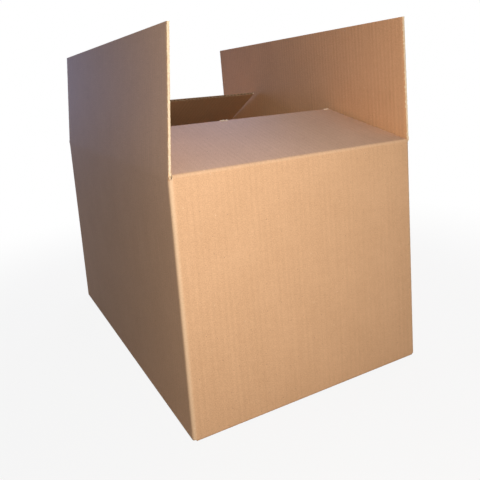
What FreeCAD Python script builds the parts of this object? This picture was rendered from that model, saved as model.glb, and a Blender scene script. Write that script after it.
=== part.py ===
"""An open slotted carton of single-wall corrugated board: one folded and glued blank, with four top flaps on creases.

Millimetres, +Z up. The origin is the middle of the base. The short walls face -Y (front) and +Y (back), the long
walls face -X (left) and +X (right).
"""
import FreeCAD, Part
import math
import os

Vector = FreeCAD.Vector
UP = Vector(0, 0, 1)

# The board and the carton's outside sizes
board = 4.0
outer_length = 600.0
outer_width = 380.0
crease_height = 342.0

# The folds: corner_radius runs up the four corners, base_radius along the bottom edges
corner_radius = 5.0
base_radius = 3.0

# Top flaps: all four are as deep as each other, because a carton blank is cut straight across
flap_depth = 178.0
long_flap_end_inset = 1.0
short_flap_inset = 5.0
short_flap_taper = 8.0

# How the flaps stand: long flaps lean in from upright, short flaps are raised from level
left_lean = 5.0
right_lean = 0.8
front_raise = 14.0
back_raise = 25.0

# A crease: the wall's board is crushed to a thin bead that the flap turns on
crease_bead = 0.7
crease_gap = 0.3
crease_bevel = 22.5

# Bottom flaps: the long pair meets along the middle, the short pair lies on it, glued down
bottom_short_flap = 178.0
seam_gap = 1.0
corner_notch = 2.0

# The glue tab folds from the back wall and is glued inside the right wall
tab_width = 35.0
tab_board = 3.0
tab_end_clearance = 14.0
tab_end_slope = 20.0
tab_wall_setback = 2.5

# Distances along a crease's section, worked out from the board
half_board = board / 2
bevel_run = half_board / math.tan(math.radians(crease_bevel))
foot = crease_bead + crease_gap
foot_half_width = foot * math.tan(math.radians(crease_bevel))
half_length = outer_length / 2
half_width = outer_width / 2
margin = 1.0


def prism(points, direction):
    """The solid between the outline through the points and its copy moved along the direction."""
    return Part.Face(Part.makePolygon(points + points[:1])).extrude(direction)


def box(low, high):
    """A solid box between two corners."""
    size = [b - a for a, b in zip(low, high)]
    return Part.makeBox(*size, Vector(*low))


def upright_edges(solid):
    """The straight edges of a solid that run along Z."""
    return [e for e in solid.Edges if abs(e.tangentAt(e.FirstParameter).dot(UP)) > 0.999]


def base_edges(solid):
    """The edges of a solid that lie on the base plane."""
    return [e for e in solid.Edges if e.BoundBox.ZMax < margin / 10]


def walls_and_base():
    """The tube of four walls with its folded corners and the bottom flaps across its lower end."""
    top = crease_height - bevel_run
    block = box((-half_width, -half_length, 0), (half_width, half_length, top))
    block = block.makeFillet(corner_radius, upright_edges(block))
    block = block.makeFillet(base_radius, base_edges(block))

    inner_x, inner_y = half_width - board, half_length - board
    inside = box((-inner_x, -inner_y, 2 * board), (inner_x, inner_y, top + margin))
    inside = inside.makeFillet(corner_radius - board, upright_edges(inside))

    # The long bottom flaps show between the short ones' free edges
    well_y = half_length - bottom_short_flap
    well = box((-inner_x, -well_y, board), (inner_x, well_y, 2 * board + margin))
    seam = box((-seam_gap / 2, -inner_y, -margin), (seam_gap / 2, inner_y, board))
    cuts = [inside, well, seam]
    slot_x = half_width - short_flap_inset
    for end in (-1, 1):
        near, far = sorted((end * inner_y, end * (inner_y - seam_gap)))
        cuts.append(box((-slot_x, near, -margin), (slot_x, far, board)))
    for x in (-half_width, half_width - short_flap_inset):
        for y in (-half_length, half_length - short_flap_inset):
            cuts.append(box((x, y, -margin), (x + short_flap_inset, y + short_flap_inset, corner_notch)))
    return block.cut(cuts)


def glue_tab():
    """The tab inside the right wall at the back corner, with sloping ends."""
    outer_y = half_length - board
    inner_y = outer_y - tab_width
    low, high = 2 * board + tab_end_clearance / 2, crease_height - tab_end_clearance
    x = half_width - board - tab_board
    outline = [Vector(x, outer_y, low), Vector(x, inner_y, low + tab_end_slope),
               Vector(x, inner_y, high - tab_end_slope), Vector(x, outer_y, high)]
    return prism(outline, Vector(tab_board, 0, 0))


def tab_corner():
    """What is cut from the back right corner: the right wall ends short, and the back wall folds in behind it."""
    centre_x, centre_y = half_width - board, half_length - board
    height = crease_height + 2 * margin
    corner = box((centre_x - board, centre_y, -margin), (half_width + margin, half_length + margin, height))
    fold = Part.makeCylinder(board, height + margin, Vector(centre_x - board, centre_y, -margin), UP)
    wall_end = box((centre_x - half_board, centre_y - margin, -2 * margin),
                   (half_width + 2 * margin, half_length - tab_wall_setback, height + margin))
    return corner.cut([fold, wall_end])


def crease_rail(length):
    """A wall's top edge, bevelled from both faces to the bead. The bead is on the X axis and the wall hangs down."""
    start = -length / 2
    wedge = prism([Vector(start, -half_board, -bevel_run), Vector(start, half_board, -bevel_run), Vector(start, 0, 0)],
                  Vector(length, 0, 0))
    bead = Part.makeCylinder(crease_bead, length, Vector(start, 0, 0), Vector(1, 0, 0))
    return wedge.fuse(bead)


def upright_flap(length, side_taper):
    """A flap standing on its crease, which is the X axis. Its foot is bevelled to clear the bead at every angle."""
    section = [(-foot_half_width, foot), (-half_board, bevel_run), (-half_board, flap_depth),
               (half_board, flap_depth), (half_board, bevel_run), (foot_half_width, foot)]
    start = -length / 2
    sheet = prism([Vector(start, y, z) for y, z in section], Vector(length, 0, 0))
    if side_taper == 0:
        return sheet
    end = length / 2
    outline = [Vector(start, -board, 0), Vector(end, -board, 0), Vector(end - side_taper, -board, flap_depth),
               Vector(start + side_taper, -board, flap_depth)]
    return sheet.common(prism(outline, Vector(0, 2 * board, 0)))


def place(shape, wall, tilt=0.0):
    """Turns a shape made on the X axis by tilt degrees inwards and sets it on the named wall's crease.

    Made with the inside of the carton on its +Y side, so the front wall needs no turn about Z.
    """
    turn = {"front": 0, "right": 90, "back": 180, "left": 270}[wall]
    to_wall = {"front": half_length, "back": half_length, "left": half_width, "right": half_width}[wall]
    placed = shape.copy()
    placed.rotate(Vector(0, 0, 0), Vector(1, 0, 0), -tilt)
    placed.translate(Vector(0, half_board - to_wall, crease_height))
    placed.rotate(Vector(0, 0, 0), UP, turn)
    return placed


def carton_body():
    """The folded blank without its top flaps, as one solid."""
    body = walls_and_base()
    footprint = box((-half_width, -half_length, 0), (half_width, half_length, crease_height + margin))
    footprint = footprint.makeFillet(corner_radius, upright_edges(footprint))
    long_rail = crease_rail(outer_length - 2 * long_flap_end_inset)
    short_rail = crease_rail(outer_width - 2 * short_flap_inset)
    rails = [place(long_rail, "left"), place(long_rail, "right"), place(short_rail, "front"), place(short_rail, "back")]
    body = body.fuse([rail.common(footprint) for rail in rails] + [glue_tab()])
    return body.cut(tab_corner()).removeSplitter()


def top_flaps():
    """The four flaps, each at the angle at which it stands."""
    long_flap = upright_flap(outer_length - 2 * long_flap_end_inset, 0)
    short_flap = upright_flap(outer_width - 2 * short_flap_inset, short_flap_taper)
    return {
        "long_flap_left": place(long_flap, "left", left_lean),
        "long_flap_right": place(long_flap, "right", right_lean),
        "short_flap_front": place(short_flap, "front", 90 - front_raise),
        "short_flap_back": place(short_flap, "back", 90 - back_raise),
    }


os.makedirs("parts", exist_ok=True)
pieces = {"carton_body": carton_body(), **top_flaps()}
for name, shape in pieces.items():
    solid = shape.Solids[0] if len(shape.Solids) == 1 else shape
    solid.exportStep(f"parts/{name}.step")
    b = solid.BoundBox
    print(f"{name}: {len(shape.Solids)} solid, valid {solid.isValid()}, {solid.Volume / 1000:.0f} cm3, "
          f"x {b.XMin:.1f} {b.XMax:.1f}  y {b.YMin:.1f} {b.YMax:.1f}  z {b.ZMin:.1f} {b.ZMax:.1f}")
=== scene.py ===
# %% [markdown]
# # An open carton of corrugated kraft board
#
# The real object is one sheet of single-wall corrugated board: two flat liners glued to the crests of a wavy
# medium between them. A machine slots and creases the sheet, folds it round into four walls and glues a tab
# in one corner. The bottom flaps are glued shut here and the four top flaps stand open. The lesson builds the
# carton the way it is made: first the board, then its folds, then the creases that bend, and last the paper's
# own surface.

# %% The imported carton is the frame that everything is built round
import math
import bpy
import numpy as np
from mathutils import Matrix, Vector


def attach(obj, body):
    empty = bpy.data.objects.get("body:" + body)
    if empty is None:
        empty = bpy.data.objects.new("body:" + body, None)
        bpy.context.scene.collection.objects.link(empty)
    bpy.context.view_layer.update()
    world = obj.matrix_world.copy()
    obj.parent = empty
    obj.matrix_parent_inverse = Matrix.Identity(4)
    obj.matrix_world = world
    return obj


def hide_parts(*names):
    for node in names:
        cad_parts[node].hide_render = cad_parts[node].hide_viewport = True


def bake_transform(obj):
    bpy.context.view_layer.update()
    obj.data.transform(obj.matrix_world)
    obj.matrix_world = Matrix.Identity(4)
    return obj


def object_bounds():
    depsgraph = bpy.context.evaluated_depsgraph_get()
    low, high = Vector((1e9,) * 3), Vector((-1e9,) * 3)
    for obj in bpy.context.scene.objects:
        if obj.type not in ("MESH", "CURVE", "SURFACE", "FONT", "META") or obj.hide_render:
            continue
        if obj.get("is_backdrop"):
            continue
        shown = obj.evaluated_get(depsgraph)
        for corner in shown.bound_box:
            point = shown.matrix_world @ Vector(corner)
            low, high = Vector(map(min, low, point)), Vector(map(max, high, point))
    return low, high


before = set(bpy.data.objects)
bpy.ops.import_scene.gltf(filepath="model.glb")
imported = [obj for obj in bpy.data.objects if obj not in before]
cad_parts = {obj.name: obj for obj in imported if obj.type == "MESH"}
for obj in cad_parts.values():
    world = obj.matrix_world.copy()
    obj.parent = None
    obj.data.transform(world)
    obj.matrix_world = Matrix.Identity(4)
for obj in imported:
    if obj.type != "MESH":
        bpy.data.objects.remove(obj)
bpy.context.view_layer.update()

# %% [markdown]
# ## The sizes of the blank
#
# Everything is in metres. The walls' creases, where the top flaps turn, run half a board inside the outer
# faces. Flutes run up and down the walls and straight on into the flaps, at the usual pitch of a 4 mm board,
# which also gives the 47 faint ribs that can be counted across the short wall.

# %% Sizes of the carton and of its board
mm = 0.001
board = 4 * mm
half_board = board / 2
half_length, half_width = 300 * mm, 190 * mm
crease_height = 342 * mm
flap_depth = 178 * mm
flute_pitch = 8.1 * mm
liner, medium = 0.35 * mm, 0.3 * mm
to_crease = {"front": half_length - half_board, "back": half_length - half_board,
             "left": half_width - half_board, "right": half_width - half_board}
lean = {"left": 5.0, "right": 0.8, "front": 76.0, "back": 65.0}
crease_length = {"left": 598 * mm, "right": 598 * mm, "front": 370 * mm, "back": 370 * mm}
side_taper = {"left": 0.0, "right": 0.0, "front": 8 * mm, "back": 8 * mm}
print("flutes across the short wall:", round(2 * half_width / flute_pitch, 1))

# %% [markdown]
# ## Finishes
#
# The colours are written as sRGB hex values, as they would be picked from a picture, so one function turns
# them to the linear values that Blender works in. Every material is a small tree of nodes. It could be built
# by hand in the shader editor, but one function that adds a node and its links keeps a tree readable as a
# list.

# %% Helpers for colours and for nodes
def linear(hex_colour):
    """An sRGB hex colour as linear red, green, blue and alpha."""
    parts = [int(hex_colour[i:i + 2], 16) / 255 for i in (1, 3, 5)]
    return (*[c / 12.92 if c <= 0.04045 else ((c + 0.055) / 1.055) ** 2.4 for c in parts], 1.0)


def add(tree, kind, links=None, **settings):
    """Adds one node. settings are its attributes; links gives an input a value or another node's output."""
    made = tree.nodes.new(kind)
    for name, value in settings.items():
        setattr(made, name, value)
    for key, value in (links or {}).items():
        if isinstance(value, bpy.types.NodeSocket):
            tree.links.new(value, made.inputs[key])
        else:
            made.inputs[key].default_value = value
    return made


print("mid grey is", round(linear("#808080")[0], 3), "in linear light")

# %% [markdown]
# ### Kraft liner
#
# Kraft liner is paper made from long unbleached wood fibres. It is matt and warm brown, and a little uneven
# in tone at several scales: pulp settles in clouds and flocks, fibres give it a grain, and glue and pressure
# vary from flute to flute. It also sinks slightly between the flutes it is glued to, which the eye reads as
# fine vertical ribs; the rib pattern paints that shade into the tone, together with the glue lines under the
# flutes. Each of these is one pattern. All of them read the UV map named blank, which holds a point's place
# on the flat blank in metres, so that a pattern runs on over a fold as it does on real paper.

# %% The patterns in the paper
def paper_patterns(tree, blank):
    """The tone patterns of kraft liner, each from 0 to 1, by name."""
    clouds = add(tree, "ShaderNodeTexNoise", {"Vector": blank, "Scale": 1 / (60 * mm), "Detail": 2.0})
    flocks = add(tree, "ShaderNodeTexNoise", {"Vector": blank, "Scale": 1 / (9 * mm), "Detail": 4.0,
                                              "Roughness": 0.7})
    # Single fibres are 0.04 mm wide; they are drawn 1.7 mm apart, which is as fine as the picture shows
    grain = add(tree, "ShaderNodeTexNoise", {"Vector": blank, "Scale": 1 / (1.7 * mm), "Detail": 3.0,
                                             "Roughness": 0.65})
    # Streaks run along the flutes for 150 mm and more
    drawn_out = add(tree, "ShaderNodeMapping", {"Vector": blank,
                                                "Scale": (1 / (3.5 * mm), 1 / (150 * mm), 1.0)})
    streaks = add(tree, "ShaderNodeTexNoise", {"Vector": drawn_out.outputs[0], "Scale": 1.0, "Detail": 2.0})
    # One rib to a flute, in step with the wave of the medium, and stronger in some places than in others.
    # It is the glue lines under the flutes, with painted shade where the liner sinks between them
    glue_lines_and_rib_shade = add(tree, "ShaderNodeTexWave", {"Vector": blank, "Scale": math.tau / (20 * flute_pitch),
                                           "Phase Offset": math.pi / 2})
    stretched = add(tree, "ShaderNodeMapping", {"Vector": blank, "Location": (3.0, 8.0, 0.0),
                                                "Scale": (1 / (14 * mm), 1 / (110 * mm), 1.0)})
    where = add(tree, "ShaderNodeTexNoise", {"Vector": stretched.outputs[0], "Scale": 1.0, "Detail": 1.0})
    strength = add(tree, "ShaderNodeMapRange", {"Value": where.outputs["Fac"], "From Min": 0.2,
                                                "From Max": 0.75})
    centred = add(tree, "ShaderNodeMath", {0: glue_lines_and_rib_shade.outputs["Fac"], 1: 0.5}, operation="SUBTRACT")
    rib_shade_tone = add(tree, "ShaderNodeMath", {0: centred.outputs[0], 1: strength.outputs[0], 2: 0.5},
                   operation="MULTIPLY_ADD")
    return {"clouds": clouds.outputs["Fac"], "flocks": flocks.outputs["Fac"], "grain": grain.outputs["Fac"],
            "streaks": streaks.outputs["Fac"], "glue_lines_and_rib_shade": rib_shade_tone.outputs[0]}


print("ribs every", round(flute_pitch / mm, 1), "mm")

# %% [markdown]
# Unbleached pulp keeps a few dark bits of bark, called shives, and recycled pulp a few pale flecks. A Voronoi
# pattern cuts the paper into cells, and one cell in three gets a round speck about 1 mm across at its middle.
# The specks could be particles, but on paper they lie flush in the sheet, so colour alone is right.

# %% Specks
specks, speck_strength = ((7 * mm, "#5E4029"), (10 * mm, "#F0DCBC")), 0.5


def with_specks(tree, blank, colour):
    """The colour with dark shives and pale flecks laid over it."""
    for spacing, speck_colour in specks:
        cells = add(tree, "ShaderNodeTexVoronoi", {"Vector": blank, "Scale": 1 / spacing})
        near = add(tree, "ShaderNodeMapRange", {"Value": cells.outputs["Distance"],
                                                "From Min": 0.7 * mm / spacing,
                                                "From Max": 0.4 * mm / spacing})
        picked = add(tree, "ShaderNodeSeparateXYZ", {0: cells.outputs["Color"]})
        chosen = add(tree, "ShaderNodeMath", {0: picked.outputs["X"], 1: 0.66}, operation="GREATER_THAN")
        speck = add(tree, "ShaderNodeMath", {0: near.outputs[0], 1: chosen.outputs[0]}, operation="MULTIPLY")
        speck = add(tree, "ShaderNodeMath", {0: speck.outputs[0], 1: speck_strength}, operation="MULTIPLY")
        colour = add(tree, "ShaderNodeMix", {0: speck.outputs[0], 6: colour, 7: linear(speck_colour)},
                     data_type="RGBA").outputs[2]
    return colour


print(len(specks), "kinds of speck, a cell every", [round(spacing / mm) for spacing, _ in specks], "mm")

# %% [markdown]
# The liner's finish adds the patterns up to one tone between a pale and a deep brown. Handling and the
# folding machine burnish paper along its folds, so where the folds' attribute is above 0 the paper is
# smoother, and its colour is mixed toward a pale cream that is partly wear and partly a painted highlight
# along the folds. The same fibres that colour the paper make it faintly rough to the touch, so the grain
# also drives the bump. The face inside the carton is the same paper with a slightly redder tone, and with
# its ribs, partly glue lines and partly painted shade, more marked.

# %% Kraft liner, outside and inside
def kraft_liner(name, pale, deep, amounts):
    """Kraft paper glued over flutes. amounts says how far each pattern moves the tone from pale to deep."""
    material = bpy.data.materials.new(name)
    material.use_nodes = True
    tree = material.node_tree
    shader = tree.nodes["Principled BSDF"]
    shader.inputs["IOR"].default_value = 1.47
    shader.inputs["Specular IOR Level"].default_value = 0.12
    blank = add(tree, "ShaderNodeUVMap", uv_map="blank").outputs["UV"]
    wear_and_highlight = add(tree, "ShaderNodeAttribute", attribute_name="wear_and_highlight").outputs["Fac"]
    roughness = add(tree, "ShaderNodeMapRange", {"Value": wear_and_highlight, "To Min": 0.7, "To Max": 0.42})
    tree.links.new(roughness.outputs[0], shader.inputs["Roughness"])

    fields = paper_patterns(tree, blank)
    tone = 0.5 - sum(amounts.values()) / 2
    for pattern, amount in amounts.items():
        tone = add(tree, "ShaderNodeMath", {0: fields[pattern], 1: amount, 2: tone},
                   operation="MULTIPLY_ADD").outputs[0]
    colour = add(tree, "ShaderNodeMix", {0: tone, 6: linear(pale), 7: linear(deep)}, data_type="RGBA")
    colour = with_specks(tree, blank, colour.outputs[2])
    # Painted highlight with some wear: along the folds the colour is mixed toward pale cream
    wear_and_highlight_share = add(tree, "ShaderNodeMath", {0: wear_and_highlight, 1: 0.55}, operation="MULTIPLY")
    worn_and_highlit = add(tree, "ShaderNodeMix", {0: wear_and_highlight_share.outputs[0], 6: colour, 7: linear("#F2D6B0")}, data_type="RGBA")
    tree.links.new(worn_and_highlit.outputs[2], shader.inputs["Base Color"])
    bump = add(tree, "ShaderNodeBump", {"Height": fields["grain"], "Strength": 0.4, "Distance": 0.12 * mm})
    tree.links.new(bump.outputs[0], shader.inputs["Normal"])
    return material


# ribs: the glue lines, and painted shade where the liner sinks between flutes; stronger inside the carton
outside_amounts = {"clouds": 0.25, "flocks": 0.36, "grain": 1.35, "streaks": 0.2, "glue_lines_and_rib_shade": 0.13}
inside_amounts = {"clouds": 0.25, "flocks": 0.34, "grain": 1.6, "streaks": 0.24, "glue_lines_and_rib_shade": 0.22}
kraft_outside = kraft_liner("kraft_liner_outside", "#DEB188", "#B68C64", outside_amounts)
kraft_inside = kraft_liner("kraft_liner_inside", "#D9A476", "#B07F55", inside_amounts)
print("made", kraft_outside.name, kraft_inside.name)

# %% [markdown]
# ### Raw paper
#
# The medium between the liners is a coarser, greyer paper. Cut edges show raw fibre, which is rougher and
# paler than the calendered face, and torn edges are paler still. None of the three has ribs, so one plain
# function makes them all, with a grain of broken fibres read from Object coordinates, because an edge has no
# place on the blank.

# %% Fluting paper, cut edges and torn edges
def plain_paper(name, base, dark):
    """Rough paper seen edge-on or between the liners, with a fine grain between two colours."""
    material = bpy.data.materials.new(name)
    material.use_nodes = True
    tree = material.node_tree
    shader = tree.nodes["Principled BSDF"]
    shader.inputs["Roughness"].default_value = 0.95
    shader.inputs["Specular IOR Level"].default_value = 0.2
    place = add(tree, "ShaderNodeTexCoord").outputs["Object"]
    grain = add(tree, "ShaderNodeTexNoise", {"Vector": place, "Scale": 1 / (1.5 * mm), "Detail": 3.0})
    colour = add(tree, "ShaderNodeMix", {0: grain.outputs["Fac"], 6: linear(base), 7: linear(dark)},
                 data_type="RGBA")
    tree.links.new(colour.outputs[2], shader.inputs["Base Color"])
    return material


fluting_paper = plain_paper("fluting_medium", "#B08A62", "#97734E")
cut_edge = plain_paper("cut_kraft_edge", "#D8B68C", "#C09A70")
torn_edge = plain_paper("torn_kraft_edge", "#F2DDBA", "#C6A57C")
print("made", fluting_paper.name, cut_edge.name, torn_edge.name)

# %% [markdown]
# ## The board
#
# A sheet of corrugated board follows a rule: the medium is a sine wave, and the liners touch its crests. That
# makes it a good job for Geometry Nodes. One tree makes a flat sheet lying on the XY plane with its flutes
# along Y. It has inputs for the sizes, and a switch: where a cut edge shows, the sheet is made as two liners
# and a medium, and where both faces are all that shows, it is one slab with the same ribbed faces.

# %% The tree's inputs
washboard, knife_crush = 0.05 * mm, 0.25
samples_per_flute = 8
board_tree = bpy.data.node_groups.new("corrugated_board", "GeometryNodeTree")
board_inputs = {
    "Across": ("NodeSocketFloat", 0.1), "Along": ("NodeSocketFloat", 0.1), "Rows": ("NodeSocketInt", 2),
    "Caliper": ("NodeSocketFloat", board), "Liner": ("NodeSocketFloat", liner),
    "Medium": ("NodeSocketFloat", medium), "Pitch": ("NodeSocketFloat", flute_pitch),
    "Samples": ("NodeSocketInt", samples_per_flute), "Phase": ("NodeSocketFloat", 0.0),
    "Washboard": ("NodeSocketFloat", washboard), "Side Taper": ("NodeSocketFloat", 0.0),
    "Edge Crush": ("NodeSocketFloat", knife_crush), "Open Flutes": ("NodeSocketBool", True),
    "Outside": ("NodeSocketMaterial", kraft_outside), "Inside": ("NodeSocketMaterial", kraft_inside),
    "Fluting": ("NodeSocketMaterial", fluting_paper), "Cut": ("NodeSocketMaterial", cut_edge),
}
identifier = {}
for label, (kind, default) in board_inputs.items():
    socket = board_tree.interface.new_socket(label, in_out="INPUT", socket_type=kind)
    if kind != "NodeSocketMaterial":
        socket.default_value = default
    identifier[label] = socket.identifier
board_tree.interface.new_socket("Geometry", in_out="OUTPUT", socket_type="NodeSocketGeometry")
given = add(board_tree, "NodeGroupInput").outputs
print(len(identifier), "inputs")


# %% [markdown]
# The sheet starts as a grid. Each point is first pulled in to the sheet's slanting sides, then its place on
# the wave is worked out from where it now is, so flutes are cut off at a slanting side rather than squeezed.
# A grid could be modelled and displaced by hand, but as fields the wave stays exact at any size and any
# pitch.

# %% The grid and its slanting sides
tree = board_tree
flutes = add(tree, "ShaderNodeMath", {0: given["Across"], 1: given["Pitch"]}, operation="DIVIDE")
columns = add(tree, "ShaderNodeMath", {0: flutes.outputs[0], 1: given["Samples"], 2: 1.0},
              operation="MULTIPLY_ADD")
grid = add(tree, "GeometryNodeMeshGrid", {"Size X": given["Across"], "Size Y": given["Along"],
                                          "Vertices X": columns.outputs[0], "Vertices Y": given["Rows"]})
at = add(tree, "ShaderNodeSeparateXYZ", {0: add(tree, "GeometryNodeInputPosition").outputs[0]}).outputs
share = add(tree, "ShaderNodeMath", {0: at["Y"], 1: given["Along"]}, operation="DIVIDE")
share = add(tree, "ShaderNodeMath", {0: share.outputs[0], 1: 0.5}, operation="ADD")
half_across = add(tree, "ShaderNodeMath", {0: given["Across"], 1: 0.5}, operation="MULTIPLY")
pulled_in = add(tree, "ShaderNodeMath", {0: given["Side Taper"], 1: share.outputs[0]}, operation="MULTIPLY")
side = add(tree, "ShaderNodeMath", {0: half_across.outputs[0], 1: pulled_in.outputs[0]}, operation="SUBTRACT")
other_side = add(tree, "ShaderNodeMath", {0: side.outputs[0], 1: -1.0}, operation="MULTIPLY")
x = add(tree, "ShaderNodeMath", {0: at["X"], 1: side.outputs[0]}, operation="MINIMUM")
x = add(tree, "ShaderNodeMath", {0: x.outputs[0], 1: other_side.outputs[0]}, operation="MAXIMUM").outputs[0]
print("a flute has", samples_per_flute, "samples")

# %% The wave, as a field over the grid
turn = add(tree, "ShaderNodeMath", {0: x, 1: given["Phase"]}, operation="ADD")
turn = add(tree, "ShaderNodeMath", {0: turn.outputs[0], 1: given["Pitch"]}, operation="DIVIDE")
turn = add(tree, "ShaderNodeMath", {0: turn.outputs[0], 1: math.tau}, operation="MULTIPLY")
wave = add(tree, "ShaderNodeMath", {0: turn.outputs[0]}, operation="COSINE").outputs[0]
print("the wave reads", turn.inputs[1].default_value, "radians to a flute")

# %% [markdown]
# Near its cut sides the board is thinner, because a slotting knife crushes it. The loss fades over a
# millimetre or so, and an exponential of the distance to the side gives that with no hard step.

# %% The board's half thickness, less near the cut sides
crush_fade = 1.2 * mm
from_middle = add(tree, "ShaderNodeMath", {0: x}, operation="ABSOLUTE")
to_side = add(tree, "ShaderNodeMath", {0: from_middle.outputs[0], 1: side.outputs[0]}, operation="SUBTRACT")
decay = add(tree, "ShaderNodeMath", {0: to_side.outputs[0], 1: crush_fade}, operation="DIVIDE")
decay = add(tree, "ShaderNodeMath", {0: decay.outputs[0]}, operation="EXPONENT")
crush = add(tree, "ShaderNodeMath", {0: decay.outputs[0], 1: given["Edge Crush"]}, operation="MULTIPLY")
crush = add(tree, "ShaderNodeMath", {0: 1.0, 1: crush.outputs[0]}, operation="SUBTRACT")
half = add(tree, "ShaderNodeMath", {0: given["Caliper"], 1: 0.5}, operation="MULTIPLY")
half = add(tree, "ShaderNodeMath", {0: half.outputs[0], 1: crush.outputs[0]}, operation="MULTIPLY").outputs[0]
print("crushed edges fade over", round(crush_fade / mm, 1), "mm")

# %% Heights of the two faces and of the medium
half_dip = add(tree, "ShaderNodeMath", {0: given["Washboard"], 1: 0.5}, operation="MULTIPLY").outputs[0]
sunk = add(tree, "ShaderNodeMath", {0: half, 1: half_dip}, operation="SUBTRACT").outputs[0]
outer = add(tree, "ShaderNodeMath", {0: wave, 1: half_dip, 2: sunk}, operation="MULTIPLY_ADD").outputs[0]
minus_sunk = add(tree, "ShaderNodeMath", {0: sunk, 1: -1.0}, operation="MULTIPLY").outputs[0]
inner = add(tree, "ShaderNodeMath", {0: wave, 1: half_dip, 2: minus_sunk}, operation="MULTIPLY_ADD")
inner = inner.outputs[0]
swing = add(tree, "ShaderNodeMath", {0: half, 1: given["Liner"]}, operation="SUBTRACT")
swing = add(tree, "ShaderNodeMath", {0: given["Medium"], 1: -0.5, 2: swing.outputs[0]},
            operation="MULTIPLY_ADD")
middle = add(tree, "ShaderNodeMath", {0: wave, 1: swing.outputs[0]}, operation="MULTIPLY").outputs[0]
minus_liner = add(tree, "ShaderNodeMath", {0: given["Liner"], 1: -1.0}, operation="MULTIPLY").outputs[0]
print("faces dip by", round(washboard / mm, 3), "mm between flutes")


# %% [markdown]
# Each layer is the grid raised to its own height and then given its thickness: the sheet is extruded, and the
# starting face is kept, turned over, to close the far side. The faces that the extrusion makes round the rim
# are remembered as cut edges, because they show raw paper.

# %% One layer of the board
face_weld, rim_weld = 0.01 * mm, 0.005 * mm


def layer(height, thickness, material, along_normal=False, far_height=None, far_material=None):
    """A closed sheet whose starting face is at height and whose other face is thickness away."""
    place = add(tree, "ShaderNodeCombineXYZ", {"X": x, "Y": at["Y"], "Z": height})
    face = add(tree, "GeometryNodeSetPosition", {"Geometry": grid.outputs["Mesh"],
                                                 "Position": place.outputs[0]})
    face = add(tree, "GeometryNodeMergeByDistance", {"Geometry": face.outputs[0], "Distance": face_weld})
    face = add(tree, "GeometryNodeSetMaterial", {"Geometry": face.outputs[0], "Material": material})
    solid = add(tree, "GeometryNodeExtrudeMesh", {"Mesh": face.outputs[0], "Offset Scale": thickness,
                                                  "Individual": False})
    if not along_normal:
        tree.links.new(add(tree, "ShaderNodeCombineXYZ", {"Z": 1.0}).outputs[0], solid.inputs["Offset"])
    rim = add(tree, "GeometryNodeStoreNamedAttribute", {"Geometry": solid.outputs["Mesh"], "Name": "cut_edge",
                                                        "Value": solid.outputs["Side"]},
              data_type="BOOLEAN", domain="FACE")
    shaped = rim.outputs[0]
    if far_height is not None:
        place = add(tree, "ShaderNodeCombineXYZ", {"X": x, "Y": at["Y"], "Z": far_height})
        shaped = add(tree, "GeometryNodeSetPosition", {"Geometry": shaped, "Selection": solid.outputs["Top"],
                                                       "Position": place.outputs[0]}).outputs[0]
        shaped = add(tree, "GeometryNodeSetMaterial", {"Geometry": shaped, "Selection": solid.outputs["Top"],
                                                       "Material": far_material}).outputs[0]
    return face.outputs[0], shaped


def closed(kept, turned):
    """Joins two halves of a layer, the second turned over, and welds their rims."""
    flipped = add(tree, "GeometryNodeFlipFaces", {"Mesh": turned})
    both = add(tree, "GeometryNodeJoinGeometry")
    tree.links.new(flipped.outputs[0], both.inputs[0])
    tree.links.new(kept, both.inputs[0])
    welded = add(tree, "GeometryNodeMergeByDistance", {"Geometry": both.outputs[0], "Distance": rim_weld})
    return welded.outputs[0]


print("rims are welded within", round(rim_weld / mm, 3), "mm")

# %% The sheet as liners and medium, or as one slab
any_depth = -1 * mm  # the slab's far face is moved to the inner height, so this only has to point inwards
outer_face, outer_body = layer(outer, minus_liner, given["Outside"])
inner_face, inner_body = layer(inner, given["Liner"], given["Inside"])
wavy_face, wavy_body = layer(middle, given["Medium"], given["Fluting"], along_normal=True)
slab_face, slab_body = layer(outer, any_depth, given["Outside"], far_height=inner,
                             far_material=given["Inside"])
sandwich = add(tree, "GeometryNodeJoinGeometry")
for part in (closed(outer_face, outer_body), closed(inner_body, inner_face), closed(wavy_body, wavy_face)):
    tree.links.new(part, sandwich.inputs[0])
chosen = add(tree, "GeometryNodeSwitch", {"Switch": given["Open Flutes"], "True": sandwich.outputs[0],
                                          "False": closed(slab_face, slab_body)}, input_type="GEOMETRY")
print("corrugated_board has", len(tree.nodes), "nodes so far")

# %% [markdown]
# The faces are shaded smooth, so the wave looks round with few samples, but edges bent by more than 50
# degrees stay crisp: those are cut. Realize Instances and Set Material come last, because an export keeps
# only real geometry.

# %% Shading, and the raw paper on cut edges
is_cut = add(tree, "GeometryNodeInputNamedAttribute", {"Name": "cut_edge"}, data_type="BOOLEAN").outputs[0]
smooth = add(tree, "GeometryNodeSetShadeSmooth", {"Geometry": chosen.outputs[0], "Shade Smooth": True})
edge_angle = add(tree, "GeometryNodeInputMeshEdgeAngle").outputs["Unsigned Angle"]
is_corner = add(tree, "ShaderNodeMath", {0: edge_angle, 1: math.radians(50)}, operation="GREATER_THAN")
crisp = add(tree, "GeometryNodeSetShadeSmooth", {"Geometry": smooth.outputs[0], "Shade Smooth": False,
                                                 "Selection": is_corner.outputs[0]}, domain="EDGE")
real = add(tree, "GeometryNodeRealizeInstances", {"Geometry": crisp.outputs[0]})
finished = add(tree, "GeometryNodeSetMaterial", {"Geometry": real.outputs[0], "Selection": is_cut,
                                                 "Material": given["Cut"]})
tree.links.new(finished.outputs[0], add(tree, "NodeGroupOutput").inputs[0])
print("corrugated_board has", len(tree.nodes), "nodes")


# %% [markdown]
# The tree is run once for each sheet and its result is kept as a plain mesh. An object could carry the
# modifier to the end, but a sheet still has to be folded and joined to others, which is easier on a plain
# mesh.

# %% A sheet of board as a plain mesh
def linked(name, mesh):
    """A new object in the scene that holds the mesh."""
    made = bpy.data.objects.new(name, mesh)
    bpy.context.scene.collection.objects.link(made)
    return made


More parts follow.
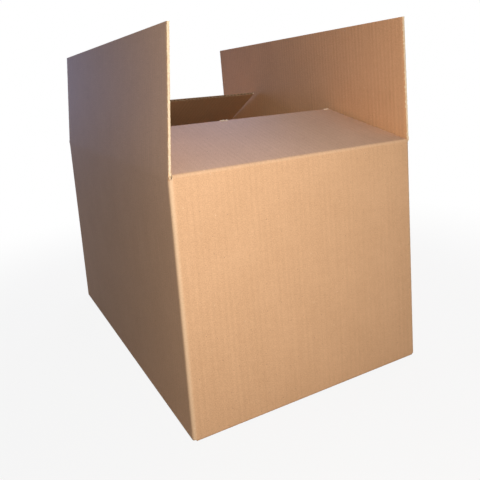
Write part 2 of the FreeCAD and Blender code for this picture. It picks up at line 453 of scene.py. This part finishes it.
def sheet(name, across, along, rows, open_flutes, phase=0.0, taper=0.0, dip=washboard, edge_crush=0.0):
    """Runs the tree once and returns an object with a plain mesh: flutes along Y, outside face up."""
    holder = linked(name + "_holder", bpy.data.meshes.new(name + "_holder"))
    nodes = holder.modifiers.new("board", "NODES")
    nodes.node_group = board_tree
    values = {"Across": across, "Along": along, "Rows": rows, "Caliper": board, "Liner": liner,
              "Medium": medium, "Pitch": flute_pitch, "Samples": samples_per_flute, "Phase": phase,
              "Washboard": dip, "Side Taper": taper, "Edge Crush": edge_crush, "Open Flutes": open_flutes,
              "Outside": kraft_outside, "Inside": kraft_inside, "Fluting": fluting_paper, "Cut": cut_edge}
    for label, value in values.items():
        nodes[identifier[label]] = value
    evaluated = holder.evaluated_get(bpy.context.evaluated_depsgraph_get())
    mesh = bpy.data.meshes.new_from_object(evaluated)
    mesh.name = name
    bpy.data.objects.remove(holder)
    return linked(name, mesh)


print("a sheet has", len(board_inputs), "settings")

# %% [markdown]
# ## Folding
#
# A flat sheet becomes a fold by laying its rows along a section: two lines drawn side on, one for the board's
# outer face and one for its inner face. A point's row says how far along the section it is, and its height in
# the board says how far between the two lines. A bend modifier could do it, but board doesn't bend evenly:
# its outer liner stretches round the fold and its inner one is pinched. The same function lays the creases,
# the bottom folds and the flaps.

# %% Places on a wall, and places on the flat blank
def to_world(wall, along, outward, up):
    """Points measured on a wall (to the right along it, outward from its crease, up), in the frame."""
    out = to_crease[wall] + outward
    return np.stack({"front": (along, -out, up), "right": (out, along, up), "back": (-along, out, up),
                     "left": (-out, -along, up)}[wall], axis=1)


def points_of(mesh):
    """A mesh's points as an array."""
    flat = np.zeros(len(mesh.vertices) * 3, np.float32)
    mesh.vertices.foreach_get("co", flat)
    return flat.reshape(-1, 3).astype(float)


def set_shape(mesh, points, u, v):
    """Moves the points, and keeps each one's place on the flat blank, in metres, in the UV map blank."""
    mesh.vertices.foreach_set("co", points.astype(np.float32).ravel())
    corner = np.zeros(len(mesh.loops), np.int32)
    mesh.loops.foreach_get("vertex_index", corner)
    uv = (mesh.uv_layers.get("blank") or mesh.uv_layers.new(name="blank")).data
    uv.foreach_set("uv", np.stack([u, v], axis=1)[corner].astype(np.float32).ravel())
    mesh.update()


print("creases from the middle:", {wall: round(out, 3) for wall, out in to_crease.items()})

# %% Laying a sheet along a section
blank_centre = {}  # how far round the blank each wall's middle comes, once the walls' path is known


def fold(made, wall, along_size, outer_line, inner_line, start_v=crease_height):
    """Lays a sheet along a section on one wall. Both lines are (outward, up) from the crease line."""
    p = points_of(made.data)
    outer_line, inner_line = np.array(outer_line), np.array(inner_line)
    steps = np.hypot(*np.diff((outer_line + inner_line) / 2, axis=0).T)
    reach = np.concatenate([[0], np.cumsum(steps)])
    row = (p[:, 1] / along_size + 0.5) * (len(outer_line) - 1)
    rows = np.arange(len(outer_line))
    through = p[:, 2] / board + 0.5
    flat = []
    for line in (inner_line, outer_line):
        flat.append(np.stack([np.interp(row, rows, line[:, i]) for i in (0, 1)], axis=1))
    laid = flat[0] + (flat[1] - flat[0]) * through[:, None]
    placed = to_world(wall, p[:, 0], laid[:, 0], laid[:, 1] + crease_height)
    set_shape(made.data, placed, blank_centre[wall] + p[:, 0], start_v + np.interp(row, rows, reach))
    return made


print("a fold is laid from", round(crease_height, 3), "m up the blank, unless told otherwise")

# %% [markdown]
# ## The tube of walls
#
# One long sheet goes round the four walls. It starts where the back wall folds in at the glued corner and
# ends at the right wall's raw edge. In plan the outer face turns each corner on an arc, and the inner face on
# a tighter one.

# %% The walls' path in plan
corner_radius = 5 * mm
inner_radius = corner_radius - board
tab_corner_x = 182 * mm
right_wall_end = 297.5 * mm
arc_steps = 6


def arc(centre, radius, start, end, steps=arc_steps):
    """Points of an arc in plan or in section, from one angle to the other, in degrees."""
    turns = np.radians(np.linspace(start, end, steps))
    return [(centre[0] + radius * math.cos(t), centre[1] + radius * math.sin(t)) for t in turns]


corner_x, corner_y = half_width - corner_radius, half_length - corner_radius
corner_arcs = (((-corner_x, corner_y), 90), ((-corner_x, -corner_y), 180), ((corner_x, -corner_y), 270))


def plan_line(tab_radius, radius, wall_face):
    """One face of the board in plan: the tab's fold, three corners, and the right wall's raw edge."""
    line = arc((tab_corner_x, half_length - board), tab_radius, 30, 90)
    for centre, start in corner_arcs:
        line += arc(centre, radius, start, start + 90)
    return np.array(line + [(wall_face, right_wall_end)])


plan_outer = plan_line(board, corner_radius, half_width)
plan_inner = plan_line(0.1 * mm, inner_radius, half_width - board)
plan_reach = np.concatenate([[0], np.cumsum(np.hypot(*np.diff((plan_outer + plan_inner) / 2, axis=0).T))])
around = plan_reach[-1]
print("the blank is", round(around, 4), "m round, without its tab")

# %% Where each wall's middle comes on the blank
for k, (wall, axis) in enumerate((("back", 0), ("left", 1), ("front", 0), ("right", 1)), start=1):
    last_of_corner = k * arc_steps - 1
    blank_centre[wall] = plan_reach[last_of_corner] + abs(plan_outer[last_of_corner][axis])
print({wall: round(centre, 4) for wall, centre in blank_centre.items()})


# %% [markdown]
# The sheet is wrapped round that path. A corner's paper is rubbed pale where cartons knock against each
# other, and the highlight along each fold is painted into that same paleness, so the walls get the attribute
# that the liner's finish reads, strongest right on each fold.

# %% The walls
def paint_wear_and_highlight(mesh, amounts):
    """Keeps each point's wear and painted highlight, from 0 to 1, where the kraft materials read it."""
    store = mesh.attributes.get("wear_and_highlight") or mesh.attributes.new("wear_and_highlight", "FLOAT", "POINT")
    store.data.foreach_set("value", np.asarray(amounts, np.float32))


crease_reach = 5 * mm
wall_low, wall_high = 3 * mm, crease_height - crease_reach
walls = sheet("walls", around, wall_high - wall_low, 5, False)
p = points_of(walls.data)
u = p[:, 0] + around / 2
through = (p[:, 2] / board + 0.5)[:, None]
faces_at = [np.stack([np.interp(u, plan_reach, line[:, i]) for i in (0, 1)], axis=1)
            for line in (plan_inner, plan_outer)]
plan = faces_at[0] + (faces_at[1] - faces_at[0]) * through
height = p[:, 1] + (wall_low + wall_high) / 2
print("walls:", len(walls.data.polygons), "faces")

# %% The corners' tops, and the wear and painted highlight on their folds
# The board between two flaps' slots stands a little higher on the round of each corner, up to the crease
slot_from, slot_to, slot_drop = 52, 86, 1.2 * mm
past_corner = np.abs(plan) - (corner_x, corner_y)
corner_angle = np.degrees(np.arctan2(past_corner[:, 1], past_corner[:, 0]))
between = (past_corner > 0).all(axis=1) & (corner_angle > slot_from) & (corner_angle < slot_to)
raised = np.where(between, 1 + (crease_height - slot_drop - wall_high) / (wall_high - wall_low), 1)
height = wall_low + (height - wall_low) * raised
set_shape(walls.data, np.column_stack([plan, height]), u, height)
folds = [(plan_reach[k * arc_steps] + plan_reach[(k + 1) * arc_steps - 1]) / 2 for k in (1, 2, 3)]
to_fold = np.min([np.abs(u - middle_of_fold) for middle_of_fold in folds], axis=0)
# Wear and a painted highlight along each fold, on the board's outer face
strongest_wear_and_highlight, fold_highlight_reach = 0.65, 2.0 * mm
paint_wear_and_highlight(walls.data, strongest_wear_and_highlight * np.exp(-(to_fold / fold_highlight_reach) ** 2) * (through[:, 0] > 0.5))
print("raised points:", int(between.sum()))


# %% [markdown]
# ## The bottom
#
# The short bottom flaps fold in first and the long ones last, so the long ones lie outside and meet along the
# middle, and the short ones lie on them inside. They are glued, so they belong to the carton and not to a
# joint. Their free edges show open flutes. Each flap is one sheet laid along its section, and the short ones
# also have a lip that turns under the wall.

# %% Bottom folds and flaps
def phase_for(wall):
    """The wave's shift that keeps a wall's flutes running on into its flaps."""
    return blank_centre[wall] - around / 2


base_radius = 3 * mm
slot_inset, half_seam = 5 * mm, 0.5 * mm
down = -crease_height
flat_size = 20 * mm  # a sheet's length before fold() lays its rows; any length would do
bottom_edge = arc((half_board - base_radius, down + base_radius), base_radius, 0, -90, 5)
bottom_edge += [(-half_board, down)]
bottom = []
for wall in ("left", "right"):
    far = half_board - (half_width - half_seam)
    outer_line = bottom_edge + [(far, down)]
    inner_line = [(-half_board, down + board)] * len(bottom_edge) + [(far, down + board)]
    piece = sheet("bottom_" + wall, 2 * (half_length - slot_inset), flat_size, len(outer_line), True,
                  phase_for(wall))
    bottom.append(fold(piece, wall, flat_size, outer_line, inner_line, start_v=0.0))
for wall in ("front", "back"):
    inner_line = [(-half_board, down + board)] * len(bottom_edge)
    piece = sheet("lip_" + wall, 2 * (half_width - slot_inset), flat_size, len(bottom_edge), False,
                  phase_for(wall))
    bottom.append(fold(piece, wall, flat_size, bottom_edge, inner_line, start_v=0.0))
    outer_line = [(-half_board, down + board), (half_board - flap_depth, down + board)]
    inner_line = [(outward, up + board) for outward, up in outer_line]
    piece = sheet("bottom_" + wall, 2 * (half_width - board), flat_size, len(outer_line), True,
                  phase_for(wall))
    bottom.append(fold(piece, wall, flat_size, outer_line, inner_line, start_v=0.0))
print("bottom:", sum(len(b.data.polygons) for b in bottom), "faces")

# %% [markdown]
# The glue tab folds in from the back wall and is glued inside the right wall. It is pressed thinner than the
# board, and its ends slope so that it never catches in the machine. A flat sheet is enough: its points only
# need moving.

# %% The glue tab inside the back right corner
tab_width, tab_board, tab_length = 35 * mm, 3 * mm, 300 * mm
tab_low, tab_high, tab_slope = 15 * mm, 328 * mm, 20 * mm
tab_x, tab_y = half_width - board, half_length - board
tab = sheet("tab", tab_width, tab_length, 3, False)
p = points_of(tab.data)
across = p[:, 0] / tab_width + 0.5
low = tab_low + tab_slope * (1 - across)
high = tab_high - tab_slope * (1 - across)
up = low + (high - low) * (p[:, 1] / tab_length + 0.5)
inward = tab_x - tab_board + (p[:, 2] / board + 0.5) * tab_board
tab_place = np.column_stack([inward, tab_y - tab_width + across * tab_width, up])
set_shape(tab.data, tab_place, across * tab_width - tab_width, up)
print("glue tab:", len(tab.data.polygons), "faces")


# %% [markdown]
# The walls, the tab and the bottom never move against each other, so they are joined and take the place of
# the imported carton's one solid. The finish could differ from piece to piece, but here it is one sheet of
# paper.

# %% One piece for all that doesn't move
def join(name, parts):
    """Makes one piece of several."""
    with bpy.context.temp_override(active_object=parts[0], selected_editable_objects=parts):
        bpy.ops.object.join()
    parts[0].name = parts[0].data.name = name
    return parts[0]


carton = join("carton", [walls, tab] + bottom)
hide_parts("carton_body")
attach(carton, "carton")
print("carton:", len(carton.data.polygons), "faces")


# %% [markdown]
# ## Torn ends
#
# A slotting knife cuts the flaps' sides along the flutes. It tears the paper more than it cuts it, so the
# sides end in a ragged cream rim instead of a clean line. A texture can't change the outline, so each side
# gets a thin closed strip of its own, five points round and one ring every 2.5 mm, whose points are pushed in
# and out at random with a fixed seed.

# %% Torn ends along the flutes
ring_spacing = 2.5 * mm
# How far outward each of a ring's five points is, and its level between the board's faces, from -1 to 1
profile = [(-0.9 * mm, -0.8), (0.1 * mm, -0.66), (0.3 * mm, -0.1), (0.15 * mm, 0.7), (-0.9 * mm, 0.88)]


def torn_end(side, along, across, taper, seed):
    """A ragged closed strip of torn paper along one side of a flat sheet; side is 1 or -1."""
    random = np.random.default_rng(seed)
    stations = max(4, round(along / ring_spacing))
    y = np.linspace(-0.5, 0.5, stations) * along
    edge = across / 2 - taper * (y / along + 0.5)
    rings = []
    for outward, level in profile:
        ragged = random.uniform(-0.25, 0.45, stations) * mm if outward > 0 else 0
        uneven = random.uniform(-0.12, 0.1, stations)
        rings.append(np.column_stack([side * (edge + outward + ragged), y, half_board * (level + uneven)]))
    points = np.stack(rings, axis=1).reshape(-1, 3)
    n = len(profile)
    faces = [(k * n + j, k * n + (j + 1) % n, (k + 1) * n + (j + 1) % n, (k + 1) * n + j)
             for k in range(stations - 1) for j in range(n)]
    faces += [tuple(range(n - 1, -1, -1)), tuple((stations - 1) * n + j for j in range(n))]
    if side < 0:
        faces = [face[::-1] for face in faces]
    return torn_paper("torn_end", points.tolist(), faces)


def torn_paper(name, points, faces):
    """An object of torn paper."""
    mesh = bpy.data.meshes.new(name)
    mesh.from_pydata(points, [], faces)
    mesh.materials.append(torn_edge)
    return linked(name, mesh)


def with_torn_ends(piece, along, across, taper, seed):
    """The sheet with both of its sides torn as a slotting knife leaves them."""
    ends = [torn_end(side, along, across, taper, seed + side) for side in (-1, 1)]
    return join(piece.name, [piece] + ends)


print("a torn end has", len(profile), "points round, and a ring every", round(ring_spacing / mm, 1), "mm")

# %% [markdown]
# Where a free edge has been knocked, a flake of the outer liner lifts off the flutes and shows its pale torn
# side. A flake is a thin disc of nine uneven points whose outer half stands up. The front flap has three,
# where the photograph shows its edge nicked.

# %% Lifted flakes
def lifted_flake(at_x, at_y, wide, deep, seed):
    """A small bit of the outer liner, torn at a free edge and standing up a little: a thin closed disc."""
    random = np.random.default_rng(seed)
    n = 9
    turns = np.linspace(0, math.tau, n, endpoint=False)
    rim = random.uniform(0.65, 1.15, n)
    x, y = at_x + wide / 2 * rim * np.cos(turns), at_y + deep / 2 * rim * np.sin(turns)
    lift = 0.3 * mm + 0.8 * mm * np.clip(np.sin(turns), 0, 1)
    points = [(a, b, half_board + c) for a, b, c in zip(x, y, lift)]
    points += [(a, b, half_board + c - liner) for a, b, c in zip(x, y, lift)]
    faces = [tuple(range(n)), tuple(range(2 * n - 1, n - 1, -1))]
    faces += [(k, n + k, n + (k + 1) % n, (k + 1) % n) for k in range(n)]
    return torn_paper("flake", points, faces)


# Each flake's place along the front flap's free edge, its width and depth, and its seed
nicks = [(-30 * mm, 12 * mm, 5 * mm, 31), (-23 * mm, 6 * mm, 3 * mm, 32), (171 * mm, 13 * mm, 5 * mm, 33)]
print(len(nicks), "flakes on the front flap")


# %% [markdown]
# ## The top flaps
#
# Each flap is a rigid sheet from a few millimetres beyond its crease to its free edge. Their edges are cut,
# so they are made with open flutes: the free edge is cut across them and shows the wave. The short flaps have
# been pressed flat under the long ones, so their ribs are fainter.

# %% The four flaps
def direction(wall):
    """A flap's own direction at rest and the way its outer face looks, as (outward, up)."""
    a = math.radians(lean[wall])
    return np.array([-math.sin(a), math.cos(a)]), np.array([math.cos(a), math.sin(a)])


flap_rows, faint_washboard, nick_inset = 13, 0.02 * mm, 1 * mm
flap_seed = {"front": 5, "back": 15, "left": 25, "right": 35}
size = flap_depth - crease_reach
for wall in to_crease:
    is_short = side_taper[wall] > 0
    away, facing = direction(wall)
    start_loss = side_taper[wall] * crease_reach / flap_depth
    across, taper = crease_length[wall] - 2 * start_loss, side_taper[wall] - start_loss
    piece = sheet("flap_" + wall, across, size, flap_rows, True, phase_for(wall), taper,
                  faint_washboard if is_short else washboard, knife_crush)
    piece = with_torn_ends(piece, size, across, taper, flap_seed[wall])
    if wall == "front":
        flakes = [lifted_flake(place, size / 2 - nick_inset, wide, deep, seed)
                  for place, wide, deep, seed in nicks]
        piece = join(piece.name, [piece] + flakes)
    reach = np.linspace(crease_reach, flap_depth, flap_rows)
    outer_line = [away * s + facing * half_board for s in reach]
    inner_line = [away * s - facing * half_board for s in reach]
    fold(piece, wall, size, outer_line, inner_line, start_v=crease_height + crease_reach)
    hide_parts(("short_flap_" if is_short else "long_flap_") + wall)
    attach(piece, wall + "_flap")
    print(piece.name, len(piece.data.polygons), "faces")


# %% [markdown]
# ## The creases
#
# A crease is the board crushed along a line, so that it bends there. It is the one part of the carton that
# must bend when a flap moves, so each crease is its own strip that follows the wall at one edge and the flap
# at the other. On the long flaps, which stand nearly straight up, the outer liner stays smooth and the inner
# one has the groove that the creasing wheel pressed. On the short flaps the outer liner rolls over an arc.

# %% A crease's section
short_roll, pinch_reach = 2.0 * mm, 1.3 * mm


def crease_section(wall, rows=21):
    """The strip's outer and inner lines, from the wall over the crease to the flap."""
    away, facing = direction(wall)
    turn = math.radians(lean[wall])
    is_long = wall in ("left", "right")
    roll = crease_reach / math.tan(turn / 2) if is_long else short_roll
    tangent = roll * math.tan(turn / 2)
    straight, rolled = crease_reach - tangent, roll * turn
    total = 2 * straight + rolled
    outer_line, inner_line = [], []
    for s in np.linspace(-total / 2, total / 2, rows):
        bend = min(1.0, max(0.0, 0.5 + s / rolled))
        normal = np.array([math.cos(turn * bend), math.sin(turn * bend)])
        if bend <= 0:
            spot = np.array([0.0, s + rolled / 2 - tangent])
        elif bend >= 1:
            spot = away * (s - rolled / 2 + tangent)
        else:
            spot = np.array([-roll, -tangent]) + roll * normal
        # The wheel pinches each face by a share of the half thickness, most in the middle of the crease
        closeness = math.exp(-(s / pinch_reach) ** 2)
        outer_pinch, inner_pinch = (0.02, 0.35) if is_long else (0.0, 0.5)
        outer_line.append(spot + normal * half_board * (1 - outer_pinch * closeness))
        inner_line.append(spot - normal * half_board * (1 - inner_pinch * closeness))
    return outer_line, inner_line


print("a crease strip is", round(2 * crease_reach / mm), "mm wide when it is flat")

# %% [markdown]
# A long crease runs out over the round of the carton's corners, so its ends bend round them at the wall and
# come back to straight at the flap. The glued corner has no such round, because the right wall ends there.

# %% Following the corners
straight_again = 3 * mm


def follow_corner(mesh, wall):
    """Bends the ends of a long crease round the corners, most at the wall and not at all at the flap."""
    p = points_of(mesh)
    side = -1 if wall == "left" else 1
    past = np.abs(p[:, 1]) - corner_y
    is_tab_corner = (side > 0) & (p[:, 1] > 0)
    bent = (past > 0) & ~is_tab_corner
    radius = np.abs(p[:, 0]) - corner_x
    turn = past / corner_radius
    amount = np.clip((crease_height - p[:, 2]) / straight_again, 0, 1)
    round_x = side * (corner_x + radius * np.cos(turn))
    round_y = np.sign(p[:, 1]) * (corner_y + radius * np.sin(turn))
    p[:, 0] = np.where(bent, p[:, 0] + amount * (round_x - p[:, 0]), p[:, 0])
    p[:, 1] = np.where(bent, p[:, 1] + amount * (round_y - p[:, 1]), p[:, 1])
    mesh.vertices.foreach_set("co", p.astype(np.float32).ravel())
    mesh.update()


print("the ends straighten over", round(straight_again / mm), "mm")

# %% The four crease strips
crease_seed = {"front": 55, "back": 54, "left": 54, "right": 55}
size = 2 * crease_reach
# The short creases get a thin pale line, a painted highlight with a little wear, through the same attribute
crease_wear_and_highlight, crease_highlight_middle, crease_highlight_reach = 0.2, -0.8 * mm, 1.2 * mm
for wall in to_crease:
    away, facing = direction(wall)
    outer_line, inner_line = crease_section(wall)
    taper = side_taper[wall] * crease_reach / flap_depth
    piece = sheet("crease_" + wall, crease_length[wall], size, len(outer_line), False, phase_for(wall), taper)
    flat_y = points_of(piece.data)[:, 1]
    piece = with_torn_ends(piece, size, crease_length[wall], taper, crease_seed[wall])
    fold(piece, wall, size, outer_line, inner_line, start_v=crease_height - crease_reach)
    if wall in ("left", "right"):
        follow_corner(piece.data, wall)
    else:
        # Painted highlight: a pale line just on the wall side of the crease
        worn_and_highlit = np.zeros(len(piece.data.vertices))
        worn_and_highlit[:len(flat_y)] = np.exp(-((flat_y - crease_highlight_middle) / crease_highlight_reach) ** 2)
        paint_wear_and_highlight(piece.data, crease_wear_and_highlight * worn_and_highlit)
    outward, up = away * crease_reach
    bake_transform(piece)
    print(piece.name, len(piece.data.polygons), "faces")


# %% [markdown]
# ## The room
#
# The carton stands on a plain white floor. Light strong enough to make a floor white would bleach the carton,
# so most of the floor's white is given only to the rays that come from the camera, straight or by way of
# something glossy or clear. The small rest is real paint, and takes the carton's soft shadow. The world round
# it is white in the same way. A picture of a backdrop would do it too, but it couldn't take a shadow.

# %% Rays that see the backdrop
def seen_rays(tree):
    """1 for camera, glossy and transmission rays, and 0 for the rays that carry light between surfaces."""
    rays = add(tree, "ShaderNodeLightPath").outputs
    seen = add(tree, "ShaderNodeMath", {0: rays["Is Camera Ray"], 1: rays["Is Glossy Ray"]},
               operation="MAXIMUM")
    return add(tree, "ShaderNodeMath", {0: seen.outputs[0], 1: rays["Is Transmission Ray"]},
               operation="MAXIMUM").outputs[0]


white = (1, 1, 1, 1)
print("the backdrop is", white[:3])

# %% White painted floor
ground = bpy.data.materials.new("white_painted_floor")
ground.use_nodes = True
tree = ground.node_tree
shader = tree.nodes["Principled BSDF"]
shader.inputs["Base Color"].default_value = linear("#9E9282")
shader.inputs["Roughness"].default_value = 1.0
shader.inputs["Specular IOR Level"].default_value = 0.0
glow = add(tree, "ShaderNodeEmission", {"Color": white, "Strength": 1.0})
place = add(tree, "ShaderNodeTexCoord").outputs["Object"]
away = add(tree, "ShaderNodeVectorMath", {0: place}, operation="LENGTH").outputs["Value"]
# Nine tenths of the floor's white is glow near the carton, and all of it from 1.1 m away
whiter = add(tree, "ShaderNodeMapRange", {"Value": away, "From Min": 0.45, "From Max": 1.1, "To Min": 0.9,
                                          "To Max": 1.0}, interpolation_type="SMOOTHSTEP")
share = add(tree, "ShaderNodeMath", {0: seen_rays(tree), 1: whiter.outputs[0]}, operation="MULTIPLY")
mixed = add(tree, "ShaderNodeMixShader", {0: share.outputs[0], 1: shader.outputs[0], 2: glow.outputs[0]})
tree.links.new(mixed.outputs[0], tree.nodes["Material Output"].inputs["Surface"])
print("made", ground.name)

# %% The floor
floor_reach, floor_level = 30, -0.5 * mm
floor = linked("floor", bpy.data.meshes.new("floor"))
corners = [(a * floor_reach, b * floor_reach, floor_level) for a, b in ((-1, -1), (1, -1), (1, 1), (-1, 1))]
floor.data.from_pydata(corners, [], [(0, 1, 2, 3)])
floor.data.materials.append(ground)
floor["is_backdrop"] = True
print("floor", 2 * floor_reach, "m across")

# %% The world
world = bpy.data.worlds.new("studio")
bpy.context.scene.world = world
world.use_nodes = True
tree = world.node_tree
soft = tree.nodes["Background"]
soft.inputs["Color"].default_value = linear("#DDE3EE")
soft.inputs["Strength"].default_value = 0.02
backdrop = add(tree, "ShaderNodeBackground", {"Color": white, "Strength": 1.0})
mixed = add(tree, "ShaderNodeMixShader", {0: seen_rays(tree), 1: soft.outputs[0], 2: backdrop.outputs[0]})
tree.links.new(mixed.outputs[0], tree.nodes["World Output"].inputs["Surface"])
print("soft light from all sides:", soft.inputs["Strength"].default_value)


# %% [markdown]
# ## Light
#
# A small soft key lamp just above and to the right of the camera lights the short wall most and the long wall
# at a grazing angle, so that wall darkens quickly with distance. Three cool lamps stand for the sky: one
# above fills the flaps' upper faces, one behind gives them their faint sheen, and one to the left behind
# cools the long wall's far end. Two large warm lamps, the fills, light the back and the right wall, which the
# photograph doesn't show.

# %% Lamps
def lamp(name, place, aim, size, power, colour):
    """A square area lamp that looks at a point."""
    data = bpy.data.lights.new(name, "AREA")
    data.size, data.energy, data.color = size, power, linear(colour)[:3]
    made = linked(name, data)
    made.location = place
    made.rotation_euler = (Vector(aim) - Vector(place)).to_track_quat("-Z", "Y").to_euler()
    return made


carton_middle = (0, 0, 0.2)
lamps = [
    lamp("key", (-0.33, -0.94, 0.52), (0.35, -0.3, 0.05), 0.1, 8.3, "#FAFAFC"),
    lamp("sky_above", (0.2, 0.3, 2.0), carton_middle, 1.2, 13, "#93B4FF"),
    lamp("sky_window", (1.2, 1.8, 1.5), (0, 0, 0.3), 0.9, 26, "#A0B6FF"),
    lamp("sky_left", (-0.7, 1.6, 0.6), (-0.1, 0.2, 0.3), 0.6, 8, "#93B4FF"),
    lamp("back_fill", (0.6, 1.7, 0.4), carton_middle, 0.8, 18, "#FFF9F0"),
    lamp("right_fill", (1.7, 0.35, 0.45), carton_middle, 0.8, 18, "#FFF9F0"),
]
print(len(lamps), "lamps")

# %% [markdown]
# ## Camera
#
# The camera stands close to the near left corner, so the carton narrows quickly towards the back. It looks a
# little down and is turned a few degrees on its side, as a hand-held picture is. Its place and its three axes
# are set as a matrix, because they were fitted together to the carton's corners.

# %% The camera at the photograph's angle
camera = linked("camera", bpy.data.cameras.new("camera"))
camera_place = (-0.40051, -0.88813, 0.44774)
right = (0.87985, -0.46953, -0.07346)
up = (0.13760, 0.10374, 0.98504)
backward = (-0.45489, -0.87680, 0.15588)
axes = zip(right, up, backward, camera_place)
camera.matrix_world = Matrix((*axes, (0, 0, 0, 1)))
camera.data.lens = 40.476
camera.data.sensor_width = 36
camera.data.shift_y = -0.1555
camera.data.clip_start = 0.01
bpy.context.scene.camera = camera
bpy.context.scene.view_settings.view_transform = "Standard"
print("camera at", [round(v, 3) for v in camera_place])

# %% [markdown]
# ## The last line
#
# The box round the finished carton, without the floor, is printed.

# %% The scene's box, and the end
low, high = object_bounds()
print("scene box", [round(v, 4) for v in (*low, *high)])
